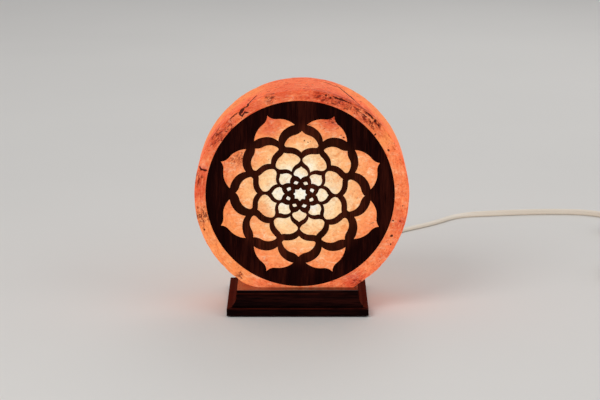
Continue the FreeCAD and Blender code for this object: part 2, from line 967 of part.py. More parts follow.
def lead_cores():
    """The two insulated wires from the end of the sheath to the holder's terminals."""
    low = holder_z + cap_floor + sheath_past
    high = core_z - terminal_head_height
    cores = []
    for side in (-1, 1):
        foot = side * (core_wire_radius + pin_gap)
        head = side * terminal_spacing / 2
        line = [
            (foot, bore_y, low),
            (foot, bore_y, low + core_run),
            (head, bore_y, high - core_run),
            (head, bore_y, high),
        ]
        cores.append(swept(route_edges(line), core_wire_radius))
    return group(cores)


def lead_strap():
    x, y = strap_place()
    low = (x - strap_length / 2, y - strap_width / 2, strap_z)
    high = (x + strap_length / 2, y + strap_width / 2, strap_z + strap_thickness)
    strap = block(low, high)
    for side in (-1, 1):
        place = x + side * strap_screw_spacing / 2
        hole = [
            (0, 0),
            (strap_screw_head + pin_gap, 0),
            (strap_screw_radius + pin_gap, strap_thickness),
            (0, strap_thickness),
        ]
        strap = strap.cut(turned(ring_profile(hole), place, y, strap_z))
    return strap


def strap_screws():
    x, y = strap_place()
    tip = 2 * strap_screw_radius
    sizes = (strap_screw_radius, strap_screw_head, strap_thickness, strap_screw_length, tip)
    places = [(x + side * strap_screw_spacing / 2, y, strap_z) for side in (-1, 1)]
    return group([wood_screw(*sizes, place) for place in places])


def switch_ends():
    """The two points where the lead enters the switch, at its back and its front."""
    return [(switch_x, switch_y + side * switch_length / 2, switch_split) for side in (1, -1)]


def cord_to_switch():
    x, y, z = switch_ends()[0]
    line = [(0, base_back, lead_z), (0, base_back + exit_run, lead_z)]
    line += to_switch_points + [(x, y + switch_run, z), (x, y, z)]
    return cord_tube("cord_to_switch", line)


def coil_start():
    return (coil_x + coil_reach, coil_y, coil_z)


def coil_end():
    return (coil_x - coil_reach, coil_y, coil_z + coil_pitch)


def cord_to_coil():
    x, y, z = switch_ends()[1]
    line = [(x, y, z), (x, y - switch_run, z)] + to_coil_points
    x, y, z = coil_start()
    line += [(x, y + coil_run, z), (x, y, z)]
    return cord_tube("cord_to_coil", line)


def cord_to_plug():
    x, y, z = coil_end()
    end = (plug_x, plug_y, plug_z)
    line = [(x, y, z), (x, y + from_coil_run, z)] + to_plug_points
    line += [(plug_x, plug_y - plug_run, plug_z), end]
    return cord_tube("cord_to_plug", line)


def coil_arcs():
    """Half turns from side to side: in on the lower layer, one that climbs, out on top."""
    reaches = [coil_reach - coil_pitch / 2 * step for step in range(coil_half_turns + 1)]
    reaches[-1] -= climb_play
    reaches += reaches[::-1]
    layers = [0] * (coil_half_turns + 1) + [1] * (coil_half_turns + 1)
    places = []
    for step, (reach, layer) in enumerate(zip(reaches, layers)):
        side = -1 if step % 2 else 1
        places.append(V(coil_x + side * reach, coil_y, coil_z + layer * coil_pitch))
    arcs = []
    for step, (start, end) in enumerate(zip(places, places[1:])):
        away = 1 if step % 2 else -1
        middle = (start + end) / 2 + V(0, away * (end - start).Length / 2, 0)
        arcs.append(Part.Arc(start, middle, end).toShape())
    return arcs


def least_gap(arcs, apart):
    """The least gap of the coil's turns to each other, on points along them."""
    points = []
    travelled = 0.0
    for arc in arcs:
        count = 40
        for place in arc.discretize(count + 1)[:-1]:
            points.append((travelled, place))
            travelled += arc.Length / count
    least = min(
        (a - b).Length
        for i, (s, a) in enumerate(points)
        for t, b in points[i + 1 :]
        if t - s > apart
    )
    return least - cord_diameter


def cord_coil():
    arcs = coil_arcs()
    solid = swept(arcs, cord_radius)
    length = sum(a.Length for a in arcs)
    share = solid.Volume / (math.pi * cord_radius**2 * length)
    gap = least_gap(arcs, coil_middle_radius)
    print("cord_coil length", round(length, 1), "least gap", round(gap, 3), end=" ")
    print("volume share", round(share, 5))
    return solid


def coil_tie():
    """A flat band round the bundle of turns, on the side away from the half turn that climbs."""
    sides = [a.valueAt((a.FirstParameter + a.LastParameter) / 2).y for a in coil_arcs()]
    sides = [y for y in sides if y > coil_y]
    half = (max(sides) - min(sides)) / 2 + cord_radius + tie_play
    y = (max(sides) + min(sides)) / 2
    high = coil_z + coil_pitch + cord_radius + tie_play
    low = coil_z - cord_radius - tie_play
    inner = block((coil_x - tie_width, y - half, low), (coil_x + tie_width, y + half, high))
    outer = block(
        (coil_x - tie_width / 2, y - half - tie_thickness, low - tie_thickness),
        (coil_x + tie_width / 2, y + half + tie_thickness, high + tie_thickness),
    )
    corners = [e for e in outer.Edges if abs(e.BoundBox.XLength - tie_width) < 1e-6]
    return outer.makeFillet(tie_round, corners).cut(inner)


# ---- switch -------------------------------------------------------------------------------


def switch_prism(inset, low, high):
    """The housing's outline, widest in the middle, between two heights."""
    half = switch_length / 2 - inset
    wide = switch_width / 2 - inset
    end = switch_end_width / 2 - inset
    corners = [(end, -half), (end, half), (-end, half), (-end, -half)]
    places = [V(switch_x + a, switch_y + b, low) for a, b in corners]
    edges = [
        Part.Arc(places[0], V(switch_x + wide, switch_y, low), places[1]).toShape(),
        Part.makeLine(places[1], places[2]),
        Part.Arc(places[2], V(switch_x - wide, switch_y, low), places[3]).toShape(),
        Part.makeLine(places[3], places[0]),
    ]
    return Part.Face(Part.Wire(edges)).extrude(V(0, 0, high - low))


def cord_hole():
    length = switch_length + 2 * cut_past
    return rod(cord_radius + pin_gap, length, (switch_x, switch_y - length / 2, switch_split), Y)


def boss_places():
    return [(switch_x + side * boss_x, switch_y + side * boss_y) for side in (-1, 1)]


def switch_base():
    """The lower half of the housing, with its two screw bosses."""
    body = switch_prism(0, 0, switch_split)
    edges = [e for e in body.Edges if e.BoundBox.ZMax < 1e-6]
    body = body.makeChamfer(switch_edge / 2, edges)
    body = body.cut(switch_prism(switch_wall, switch_wall, switch_split))
    for x, y in boss_places():
        body = body.fuse(rod(boss_radius, switch_split, (x, y, 0)))
        body = body.cut(rod(housing_screw_radius + pin_gap, switch_split, (x, y, 0)))
        body = body.cut(rod(housing_screw_head + pin_gap, housing_screw_head_height, (x, y, 0)))
    return body.cut(cord_hole()).removeSplitter()


def switch_cover():
    """The upper half, with the rocker's window and the two ears that hold its pin."""
    roof = switch_height - switch_wall
    room = roof - switch_split
    body = switch_prism(0, switch_split, switch_height)
    edges = [e for e in body.Edges if e.BoundBox.ZMin > switch_height - 1e-6]
    body = body.makeFillet(switch_edge, edges)
    body = body.cut(switch_prism(switch_wall, switch_split, roof))
    for x, y in boss_places():
        body = body.fuse(rod(boss_radius, room, (x, y, switch_split)))
        body = body.cut(rod(housing_screw_radius + pin_gap, room, (x, y, switch_split)))
    ear_low = pivot_z - rocker_pin_radius - ear_below
    for side in (-1, 1):
        near = side * (rocker_width / 2 + rocker_play)
        far = near + side * ear_thickness
        low = (switch_x + min(near, far), switch_y - ear_half, ear_low)
        high = (switch_x + max(near, far), switch_y + ear_half, roof)
        body = body.fuse(block(low, high))
    across = rocker_width / 2 + rocker_play
    along = math.hypot(rocker_length / 2, rocker_rise) + rocker_play
    window = block(
        (switch_x - across, switch_y - along, switch_split),
        (switch_x + across, switch_y + along, switch_height + cut_past),
    )
    body = body.cut(window)
    body = body.cut(rocker_axle(rocker_pin_radius + pin_gap))
    return body.cut(cord_hole()).removeSplitter()


def rocker_axle(radius):
    half = rocker_width / 2 + rocker_play + ear_thickness
    return rod(radius, 2 * half, (switch_x - half, switch_y, pivot_z), X)


def switch_rocker():
    """The rocker, dished along its top, tipped to its on side."""
    half = rocker_length / 2
    left = switch_x - rocker_width / 2

    def place(along, up):
        return V(left, switch_y + along, pivot_z + up)

    shoulder = rocker_rise - rocker_cheek
    dish = place(0, rocker_rise - rocker_dish)
    edges = [
        Part.Arc(place(-half, rocker_rise), dish, place(half, rocker_rise)).toShape(),
        Part.makeLine(place(half, rocker_rise), place(half, shoulder)),
        Part.Arc(place(half, shoulder), place(0, -rocker_depth), place(-half, shoulder)).toShape(),
        Part.makeLine(place(-half, shoulder), place(-half, rocker_rise)),
    ]
    body = Part.Face(Part.Wire(edges)).extrude(V(rocker_width, 0, 0))
    nose_low = bridge_height + bridge_thickness / 2 + nose_gap
    nose_top = pivot_z - rocker_pin_radius - nose_root
    nose = rod(nose_radius, nose_top - nose_low, (switch_x, switch_y, nose_low))
    body = body.fuse(nose).removeSplitter()
    body = body.cut(rocker_axle(rocker_pin_radius + pin_gap))
    body.rotate(V(switch_x, switch_y, pivot_z), X, -rocker_tilt)
    return body


def contact_bridge():
    """The see-saw that the rocker tips the other way to close the contact."""
    half = bridge_length / 2
    wide = bridge_width / 2
    thick = bridge_thickness / 2
    plate = block(
        (switch_x - wide, switch_y - half, bridge_height - thick),
        (switch_x + wide, switch_y + half, bridge_height + thick),
    )
    plate.rotate(V(switch_x, switch_y, bridge_height), X, rocker_tilt * bridge_ratio)
    return plate


def switch_terminals():
    """The post under the see-saw's middle and the one that its closed end meets, each with
    the tab that a wire is clamped to."""
    floor = switch_wall
    wide = bridge_width / 2
    tilt = math.radians(rocker_tilt * bridge_ratio)
    reach = bridge_length / 2 - post_length
    drop = bridge_thickness / 2 / math.cos(tilt) + (reach + post_length / 2) * math.tan(tilt)
    contact_top = bridge_height - drop - post_gap
    middle_top = bridge_height - bridge_thickness / 2 - post_length / 2 * math.tan(tilt) - post_gap
    posts = []
    for side, near, top in ((-1, reach, contact_top), (1, -post_length / 2, middle_top)):
        low = min(side * near, side * (near + post_length))
        post = block(
            (switch_x - wide, switch_y + low, floor),
            (switch_x + wide, switch_y + low + post_length, top),
        )
        start = max(low, low + post_length) if side > 0 else low
        tab = block(
            (switch_x - wide, switch_y + min(start, start + side * tab_length), floor),
            (switch_x + wide, switch_y + max(start, start + side * tab_length), floor + tab_thickness),
        )
        posts.append(post.fuse(tab).removeSplitter())
    return group(posts)


def switch_wires():
    """The ends of the sheath inside the housing, the cut wire clamped to the two tabs, and
    the whole one that runs past the contacts."""
    inner = switch_length / 2 - sheath_stub
    foot = switch_wall + tab_thickness + core_wire_radius + pin_gap
    lane = core_wire_radius + pin_gap
    low = switch_wall + core_wire_radius + pin_gap
    past = bridge_width / 2 + core_wire_radius + rocker_play
    bend = sheath_stub
    wires = []
    ends = ((1, post_length / 2 + tab_length), (-1, bridge_length / 2 + tab_length))
    for side, tab_end in ends:
        face = (switch_x, switch_y + side * inner, switch_split)
        wires.append(rod(cord_radius, sheath_stub, face, Y * side))
        line = [
            (switch_x - lane, switch_y + side * inner, switch_split),
            (switch_x - lane, switch_y + side * (inner - bend / 2), switch_split),
            (switch_x - lane, switch_y + side * (tab_end + bend / 4), foot),
            (switch_x - lane, switch_y + side * (tab_end - bend / 2), foot),
        ]
        wires.append(swept(route_edges(line), core_wire_radius))
    half = [
        (switch_x + lane, inner, switch_split),
        (switch_x + lane, inner - bend / 2, switch_split),
        (switch_x + past, boss_y + boss_radius, low),
    ]
    line = [(x, switch_y + y, z) for x, y, z in half]
    line += [(x, switch_y - y, z) for x, y, z in half[::-1]]
    wires.append(swept(route_edges(line), core_wire_radius))
    return group(wires)


def housing_screws():
    length = switch_height - switch_wall - housing_screw_rest
    sizes = (housing_screw_radius, housing_screw_head, housing_screw_head_height, length)
    return group([slotted_screw(*sizes, (x, y, 0)) for x, y in boss_places()])


# ---- plug ---------------------------------------------------------------------------------


def plug_relief():
    """The ribbed taper that keeps the lead from kinking where it enters the plug."""
    pitch = relief_length / (relief_grooves + 1)
    middles = [(number + relief_first) * pitch for number in range(relief_grooves)]

    def taper(up):
        return relief_thin + (relief_thick - relief_thin) * up / relief_length

    outline = [(0.0, 0.0), (relief_thin, 0.0)]
    outline += grooved(taper, middles, relief_groove_width, relief_groove_depth)
    outline += [(relief_thick, relief_length), (0.0, relief_length)]
    solid = turned(ring_profile(outline), 0, 0, 0)
    solid.rotate(V(0, 0, 0), X, -90)
    solid.translate(V(plug_x, plug_y, plug_z))
    return solid


def plug_section(width, thickness, y):
    """A rounded oblong across the plug."""
    radius = min(plug_round, thickness / 2 - plug_flat)
    a = width / 2
    b = thickness / 2
    bend = radius * (1 - math.sqrt(0.5))
    edges = []
    corners = [(a, b), (-a, b), (-a, -b), (a, -b)]
    places = []
    for p, q in corners:
        s = math.copysign(1, p)
        t = math.copysign(1, q)
        flat = (p - s * radius, q)
        upright = (p, q - t * radius)
        round_middle = (p - s * bend, q - t * bend)
        ends = (upright, flat) if s * t > 0 else (flat, upright)
        places.append((ends[0], round_middle, ends[1]))
    for i, (start, middle, end) in enumerate(places):
        arc = [V(plug_x + p, y, plug_z + q) for p, q in (start, middle, end)]
        edges.append(Part.Arc(*arc).toShape())
        after = places[(i + 1) % 4][0]
        edges.append(Part.makeLine(arc[2], V(plug_x + after[0], y, plug_z + after[1])))
    return Part.Wire(edges)


def plug_face_y():
    return plug_y + relief_length + plug_body_length


def pin_places():
    return [plug_x + side * pin_spacing / 2 for side in (-1, 1)]


def plug_body():
    rear = plug_y + relief_length
    face = plug_face_y()
    sections = [
        plug_section(plug_rear_width, plug_rear_thickness, rear),
        plug_section(plug_bend_width, plug_thickness, rear + plug_bend_place),
        plug_section(plug_width, plug_thickness, face),
    ]
    body = Part.makeLoft(sections, True, True)
    for x in pin_places():
        body = body.cut(rod(pin_sleeve_radius + pin_gap, pin_root, (x, face - pin_root, plug_z), Y))
    return body


def plug_pins():
    """Round pins, stepped down where their insulating sleeves sit, with domed tips."""
    face = plug_face_y()
    neck = pin_sleeve_length
    pins = []
    for x in pin_places():
        steps = [
            ((0, -pin_root), (pin_core_radius, -pin_root)),
            ((pin_core_radius, -pin_root), (pin_core_radius, neck)),
            ((pin_core_radius, neck), (pin_radius, neck)),
            ((pin_radius, neck), (pin_radius, pin_length - pin_dome)),
            ((pin_radius, pin_length - pin_dome), *dome(pin_radius, pin_length - pin_dome, pin_length)),
            ((0, pin_length), (0, -pin_root)),
        ]
        pin = turned(steps, 0, 0, 0)
        pin.rotate(V(0, 0, 0), X, -90)
        pin.translate(V(x, face, plug_z))
        pins.append(pin)
    return group(pins)


def pin_sleeves():
    face = plug_face_y()
    length = pin_sleeve_length + pin_root
    sleeves = []
    for x in pin_places():
        start = (x, face - pin_root, plug_z)
        sleeve = rod(pin_sleeve_radius, length, start, Y)
        sleeves.append(sleeve.cut(rod(pin_core_radius + pin_gap, length, start, Y)))
    return group(sleeves)


# ---- all nodes ----------------------------------------------------------------------------

nodes = {
    "salt_disc": salt_disc,
    "fretwork_panel": fretwork_panel,
    "panel_glue_dabs": glue_dabs,
    "wooden_base": wooden_base,
    "rubber_feet": rubber_feet,
    "salt_screws": salt_screws,
    "salt_wall_plugs": wall_plugs,
    "holder_cap": holder_cap,
    "holder_shell": holder_shell,
    "holder_core": holder_core,
    "socket_sleeve": socket_sleeve,
    "centre_contact": centre_contact,
    "terminal_screws": terminal_screws,
    "threaded_nipple": threaded_nipple,
    "bracket_nut": bracket_nut,
    "clip_bracket": clip_bracket,
    "bulb_glass": bulb_glass,
    "bulb_cap": bulb_cap,
    "bulb_insulator": bulb_insulator,
    "bulb_tip": bulb_tip,
    "bulb_stem": bulb_stem,
    "bulb_filament": bulb_filament,
    "base_lead": base_lead,
    "lead_cores": lead_cores,
    "lead_strap": lead_strap,
    "strap_screws": strap_screws,
    "cord_to_switch": cord_to_switch,
    "switch_base": switch_base,
    "switch_cover": switch_cover,
    "switch_rocker": switch_rocker,
    "rocker_pin": lambda: rocker_axle(rocker_pin_radius),
    "contact_bridge": contact_bridge,
    "switch_terminals": switch_terminals,
    "switch_wires": switch_wires,
    "housing_screws": housing_screws,
    "cord_to_coil": cord_to_coil,
    "cord_coil": cord_coil,
    "coil_tie": coil_tie,
    "cord_to_plug": cord_to_plug,
    "plug_relief": plug_relief,
    "plug_body": plug_body,
    "plug_pins": plug_pins,
    "pin_sleeves": pin_sleeves,
}

os.makedirs("parts", exist_ok=True)
for name, make in nodes.items():
    shape = make()
    shape.exportStep(os.path.join("parts", name + ".step"))
    print(name, shape.ShapeType, len(shape.Solids), shape.isValid(), round(shape.Volume, 1))
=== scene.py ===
import json
import math

import bmesh
import bpy
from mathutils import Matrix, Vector, noise


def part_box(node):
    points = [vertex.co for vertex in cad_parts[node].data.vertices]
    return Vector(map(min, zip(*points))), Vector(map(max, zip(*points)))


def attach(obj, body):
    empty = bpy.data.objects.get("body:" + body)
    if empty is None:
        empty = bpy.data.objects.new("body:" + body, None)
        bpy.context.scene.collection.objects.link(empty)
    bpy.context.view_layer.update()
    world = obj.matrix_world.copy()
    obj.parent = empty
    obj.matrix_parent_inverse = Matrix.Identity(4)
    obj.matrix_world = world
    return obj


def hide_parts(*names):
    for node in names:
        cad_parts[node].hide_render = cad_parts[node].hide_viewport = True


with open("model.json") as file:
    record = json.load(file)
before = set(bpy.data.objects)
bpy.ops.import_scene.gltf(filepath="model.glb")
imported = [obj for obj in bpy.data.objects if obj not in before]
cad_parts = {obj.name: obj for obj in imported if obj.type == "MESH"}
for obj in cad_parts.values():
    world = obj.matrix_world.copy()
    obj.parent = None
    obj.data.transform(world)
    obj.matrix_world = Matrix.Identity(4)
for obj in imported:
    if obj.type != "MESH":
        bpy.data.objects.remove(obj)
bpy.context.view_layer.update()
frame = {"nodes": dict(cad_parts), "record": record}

# A lit rock-salt lamp with a wooden fretwork front: the salt's broken surface and its glow, the
# stained woods, the fittings' finishes, and the twin lead with its switch, coil and plug.
# Metres, +Z up, the front faces -Y. One millimetre is written as 1 * MM.

MM = 0.001

# ---- sizes and places ---------------------------------------------------------------------

salt_low, salt_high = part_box("salt_disc")
salt_radius = salt_high.x
salt_front = salt_low.y
salt_back = salt_high.y
salt_middle_y = (salt_front + salt_back) / 2
salt_centre_z = salt_high.z - salt_radius
salt_grid = 1.3 * MM  # edge of the squares that the salt's skin is made of
bore_radius = 23 * MM  # the bulb's bore, which comes up from below
panel_low, panel_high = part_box("fretwork_panel")
panel_middle = (panel_low + panel_high) / 2
base_low, base_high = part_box("wooden_base")
base_middle = (base_low + base_high) / 2
base_half = (base_high - base_low) / 2
base_top = base_high.z
base_ledge_z = 7.7 * MM  # the plinth's step
base_lip_z = 18.2 * MM  # the lower edge of the board on it

# How the salt wears away.
wave_depth = 0.35 * MM
edge_reach = 4.5 * MM  # how far in from an edge of the disc the wear starts
crack_depth = 0.6 * MM
crack_reach = 2.2 * MM
pit_reach = 1.2 * MM
foot_reach = 3 * MM  # over this height the wear grows, so that the foot stays flat
foot_corner_wear = 1.6 * MM
foot_corner_reach = 7 * MM

# How the salt is lit: the bulb's place in it, and the distances over which the light fades.
glow_heart = Vector((1.5 * MM, salt_middle_y, 106 * MM))
glow_start = 34 * MM
glow_length = 62 * MM

lead_width = 5.8 * MM
lead_thickness = 3.6 * MM
lead_groove = 0.12  # depth of the groove between the two cores, as a share of the thickness
lead_corners = 28  # of the section's outline

coil_centre = Vector((322 * MM, 62 * MM, 4 * MM))
coil_reach = 38.3 * MM  # radius of its outermost half turn
coil_pitch = 6.3 * MM  # from turn to turn, and from the lower layer to the upper one
coil_half_turns = 4  # in each layer
coil_climb_play = 1.2 * MM  # room for the step up between the layers
coil_points = 8  # to each half turn

FLAT = 0
ON_EDGE = 90

# The lead's route as (x, y, z, how far its broad side is turned up), in mm and degrees.
to_switch_route = [
    (0, 50, 5.75, FLAT),
    (0, 68, 5.75, FLAT),
    (1.5, 88, 3.6, FLAT),
    (5.5, 113, 1.9, FLAT),
    (16.5, 145, 1.9, FLAT),
    (38, 178, 1.9, FLAT),
    (67, 215, 1.9, FLAT),
    (102, 248.5, 1.9, FLAT),
    (133, 275, 1.9, FLAT),
    (157, 306, 2.0, 10),
    (195, 312, 2.9, 75),
    (231, 317.5, 3.0, ON_EDGE),
    (266, 319, 3.0, ON_EDGE),
    (293, 315.5, 3.0, ON_EDGE),
    (321, 293, 3.0, 80),
    (346, 275, 3.2, 40),
    (358.5, 251, 5.9, FLAT),
    (360.5, 235, 8.5, FLAT),
    (360.5, 222, 8.5, FLAT),
]
to_coil_route = [
    (360.5, 160, 8.5, FLAT),
    (360.5, 147, 8.5, FLAT),
    (361.8, 127, 5.8, 30),
    (361.6, 106, 3.6, 80),
    (360.3, 83, 4.0, ON_EDGE),
]
to_plug_route = [
    (283.7, 79, 10.3, ON_EDGE),
    (286, 98, 7.4, 70),
    (294, 116, 4.8, 30),
    (304.5, 132.5, 4.4, FLAT),
    (312.5, 149.5, 5.6, FLAT),
    (315.5, 167, 6.85, FLAT),
    (315.5, 184, 6.85, FLAT),
]

# Marks in the salt, in mm: cracks as corners (x, y, z, half width) just below its surface, pits
# as (x, y, z, half width), and round places as (x, z, radius).
salt_cracks = [
    [(-52, -34.2, 172.5, 1.2), (-48.6, -34.1, 177.2, 1.7), (-45.3, -33, 179.4, 1.3)],
    [(-45.3, -33, 179.4, 1.3), (-38, -11, 182.8, 0.8)],
    [(-52, -34.2, 172.5, 1.1), (-50, -34.2, 170.3, 0.9), (-47.5, -34.2, 173, 0.9)],
    [(-47.5, -34.2, 173, 0.9), (-44.5, -34.2, 173.4, 0.6)],
    [(-60, -34, 167, 0.35), (-54, -33.8, 173, 0.75)],
    [(30, 18, 186.1, 0.6), (38, -2, 182.9, 1.2), (40.5, -8, 181.7, 1.9)],
    [(40.5, -8, 181.7, 1.9), (43.4, -14.5, 180.2, 1.3), (48.1, -23, 177.2, 0.8)],
    [(26, -33.8, 186.6, 0.5), (33, -33.9, 184, 0.9), (39, -33.9, 181.6, 0.5)],
    [(46, -32.5, 178, 0.6), (50.5, -31.5, 175.6, 1.0), (55, -28, 172.9, 0.7)],
    [(52.3, -33.4, 174.8, 0.6), (56.2, -33.3, 171.6, 1.3), (59.6, -33.4, 168.4, 0.7)],
    [(47.8, -34.1, 173.8, 0.3), (51.6, -34.1, 171.8, 0.8), (54, -34.1, 169.6, 0.5)],
    [(17.2, -34.4, 158.6, 0.1), (19.5, -34.4, 160, 0.3)],
    [(28.2, -34.4, 158.8, 0.1), (30.4, -34.4, 160, 0.3)],
    [(16.5, -34.4, 165.9, 0.1), (20, -34.4, 165, 0.3)],
    [(-85.6, -34, 126.5, 0.8), (-84.6, -34.1, 124.6, 1.0), (-80.4, -34.2, 123.9, 0.9)],
    [(10, 20, 190.6, 0.6), (20, 19, 189.6, 0.9), (30, 12, 186.5, 0.8)],
    [(56.5, -34.4, 76.8, 0.1), (61, -34.4, 78.6, 0.3)],
    [(27, -34.4, 75.6, -0.05), (33.5, -34.4, 75, 0.05)],
    [(-37.5, -34.4, 77.4, 0.0), (-33, -34.4, 75.8, 0.2)],
    [(22.5, -34.4, 91.6, -0.05), (29, -34.4, 90, -0.05)],
    [(80, -34.4, 103, -0.05), (89, -34.2, 103.6, 0.05)],
    [(80.5, -34.4, 91, -0.05), (89, -34.2, 91.2, 0.05)],
]
salt_pits = [
    (58.6, -33, 168.4, 1.3),
    (61, -34, 166, 1.1),
    (64, -34.4, 162, 0.8),
    (57, -34.3, 165.5, 0.8),
    (24, -34.4, 185.8, 1.0),
    (20, -34.4, 187.6, 0.8),
    (77, -34.4, 80.4, 1.0),
    (83, -34.4, 79.7, 0.8),
    (75.6, -34.4, 67.2, 1.2),
    (75.4, -34.4, 59.8, 0.9),
    (61.4, -34.4, 154.5, 0.9),
    (72.7, -34.4, 141.2, 1.0),
    (-29, -34.4, 185.5, 0.8),
    (-86, -34.4, 86, 0.7),
    (-82.5, -34.4, 73, 0.8),
    (-42, -34.4, 141, 0.6),
    (-50, -34.4, 134, 0.7),
    (-46, -34.4, 130, 0.6),
    (23.1, -34.4, 157.7, 0.5),
    (35.1, -34.4, 151.9, 0.9),
    (32.8, -34.4, 153.9, 0.5),
    (3.6, -6, 191.9, 0.8),
    (9.4, -6, 191.5, 0.8),
    (22.1, -7.5, 189.3, 0.9),
    (-21.2, -6, 189.5, 0.9),
    (-11.8, 4, 191.2, 0.7),
    (2.2, -34.4, 149.6, 0.6),
    (5, -34.4, 148, 0.6),
    (6.8, -34.4, 149.2, 0.5),
    (-37, -34.4, 118.5, 0.5),
    (-28, -34.4, 133, 0.5),
]
rose_places = [
    (-44, 176, 15),
    (-60, 163, 15),
    (-76, 147, 15),
    (-86, 114, 20),
    (-27, 163, 12),
    (-12, 190, 16),
    (14, 188, 18),
    (24, 167, 12),
    (37, 181, 18),
    (50, 171, 15),
    (64, 160, 10),
    (86, 76, 9),
    (46, 27, 13),
]
amber_places = [
    (-80, 64, 34),
    (-60, 36, 22),
    (66, 158, 16),
]
speckled_places = [
    (-53.5, 133, 8),
    (27, 168, 6.5),
    (-26.5, 184.8, 5.5),
    (-88.5, 117, 7),
    (-72, 153, 9),
    (-85.5, 84, 10),
    (47, 26, 6),
    (3, 162, 7),
    (12, 188.5, 4),
    (20, 186.5, 6.5),
    (29, 184.5, 7),
    (38, 181, 7),
    (47, 176, 6),
    (54, 170.5, 8),
    (62, 164, 7),
    (-61, 161, 6),
    (-53, 33, 4.5),
]


floor_radius = 9.0
lamp_middle = (0.0, 0.0, 0.1)
camera_place = (-0.00157, -1.6986, 0.4905)
camera_tilt = 76.74  # degrees up from looking straight down
camera_lens = 121.84

# ---- shader maths -------------------------------------------------------------------------


class Tone:
    """A socket in a material. Arithmetic on tones adds the Math nodes that it needs."""

    def __init__(self, tree, socket=None):
        self.tree = tree
        self.socket = socket

    def make(self, kind, settings=None, inputs=None, output=0):
        """Another node: first its settings, then the values or links of its sockets."""
        node = self.tree.nodes.new(kind)
        for name, setting in (settings or {}).items():
            if name == "stops":
                fill_ramp(node.color_ramp, setting)
            else:
                setattr(node, name, setting)
        for name, value in (inputs or {}).items():
            feed(node.inputs[name], value)
        return Tone(self.tree, node.outputs[output])

    def math(self, operation, *others):
        inputs = dict(enumerate((self, *others)))
        return self.make("ShaderNodeMath", {"operation": operation}, inputs)

    def __add__(self, other):
        return self.math("ADD", other)

    def __sub__(self, other):
        return self.math("SUBTRACT", other)

    def __rsub__(self, other):
        return self * -1.0 + other

    def __mul__(self, other):
        return self.math("MULTIPLY", other)

    def __truediv__(self, other):
        return self.math("DIVIDE", other)

    def __pow__(self, other):
        return self.math("POWER", other)

    __radd__ = __add__
    __rmul__ = __mul__


def feed(socket, value):
    """A link into a socket, or the constant that it holds."""
    if isinstance(value, Tone):
        value.tree.links.new(value.socket, socket)
    else:
        socket.default_value = value


def fill_ramp(ramp, stops):
    while len(ramp.elements) < len(stops):
        ramp.elements.new(1.0)
    for element, (position, colour) in zip(ramp.elements, stops):
        element.position = position
        element.color = colour


def paint(red, green, blue):
    """A colour from its screen values, 0 to 255."""
    values = [c / 255 for c in (red, green, blue)]
    return tuple(v / 12.92 if v < 0.04 else ((v + 0.055) / 1.055) ** 2.4 for v in values) + (1.0,)


def scaled(colour, factor):
    """A plain colour made darker or lighter."""
    return tuple(min(1.0, c * factor) for c in colour[:3]) + (1.0,)


def clouds(place, scale, detail=3.0, rough=0.5, warp=0.0):
    """Noise from 0 to 1 with about `scale` lumps to the metre."""
    inputs = {"Vector": place, "Scale": scale, "Detail": detail}
    inputs.update({"Roughness": rough, "Distortion": warp})
    return place.make("ShaderNodeTexNoise", {}, inputs)


def rise(value, low, high):
    """0 under low, 1 over high and smooth between them."""
    inputs = {"Value": value, "From Min": low, "From Max": high}
    return value.make("ShaderNodeMapRange", {"interpolation_type": "SMOOTHSTEP"}, inputs)


def mix(share, low, high, way="MIX"):
    """Two colours mixed, or the first one changed by the second."""
    settings = {"data_type": "RGBA", "blend_type": way}
    return share.make("ShaderNodeMix", settings, {0: share, 6: low, 7: high}, 2)


def tinted(share, skin, tint):
    """A colour multiplied by a tint, as far as the share goes."""
    return mix(share, skin, tint + (1.0,), "MULTIPLY")


def ramp(value, stops):
    """A colour along a row of (position, colour) stops."""
    return value.make("ShaderNodeValToRGB", {"stops": stops}, {"Fac": value})


def stretched(place, scale, turn=(0.0, 0.0, 0.0)):
    return place.make("ShaderNodeMapping", {}, {"Vector": place, "Scale": scale, "Rotation": turn})


def joined(x, y, z):
    return x.make("ShaderNodeCombineXYZ", {}, {"X": x, "Y": y, "Z": z})


def axes(place):
    split = place.make("ShaderNodeSeparateXYZ", {}, {"Vector": place})
    return [Tone(place.tree, socket) for socket in split.socket.node.outputs]


def vector(operation, first, second, output=0):
    settings = {"operation": operation}
    return first.make("ShaderNodeVectorMath", settings, {0: first, 1: second}, output)


def lengthened(arrow, factor):
    """A vector, or a colour in a material, times a number."""
    inputs = {0: arrow, "Scale": factor}
    tone = factor if isinstance(factor, Tone) else arrow
    return tone.make("ShaderNodeVectorMath", {"operation": "SCALE"}, inputs)


def bump(height, distance, strength):
    inputs = {"Height": height, "Distance": distance, "Strength": strength}
    return height.make("ShaderNodeBump", {}, inputs)


def finish(name, **shine):
    """A new material with its shader's constants, and Object coordinates to draw on it."""
    material = bpy.data.materials.new(name)
    material.use_nodes = True
    shader = material.node_tree.nodes["Principled BSDF"]
    for socket, value in shine.items():
        shader.inputs[socket.replace("_", " ")].default_value = value
    place = Tone(material.node_tree).make("ShaderNodeTexCoord", output="Object")
    return material, shader.inputs, place


# ---- finishes -----------------------------------------------------------------------------


def outside_crack(place, start, end):
    """How far each point lies outside a tapered crack between two corners, in mm."""
    first = Vector(start[:3]) * MM
    run = Vector(end[:3]) * MM - first
    off = vector("SUBTRACT", place, first)
    share = vector("DOT_PRODUCT", off, run / run.length_squared, "Value")
    share = share.math("MAXIMUM", 0.0).math("MINIMUM", 1.0)
    half = start[3] + share * (end[3] - start[3])
    nearest = lengthened(tuple(run), share)
    return vector("DISTANCE", off, nearest, "Value") / MM - half


def lowest(values):
    result = values[0]
    for other in values[1:]:
        result = result.math("MINIMUM", other)
    return result


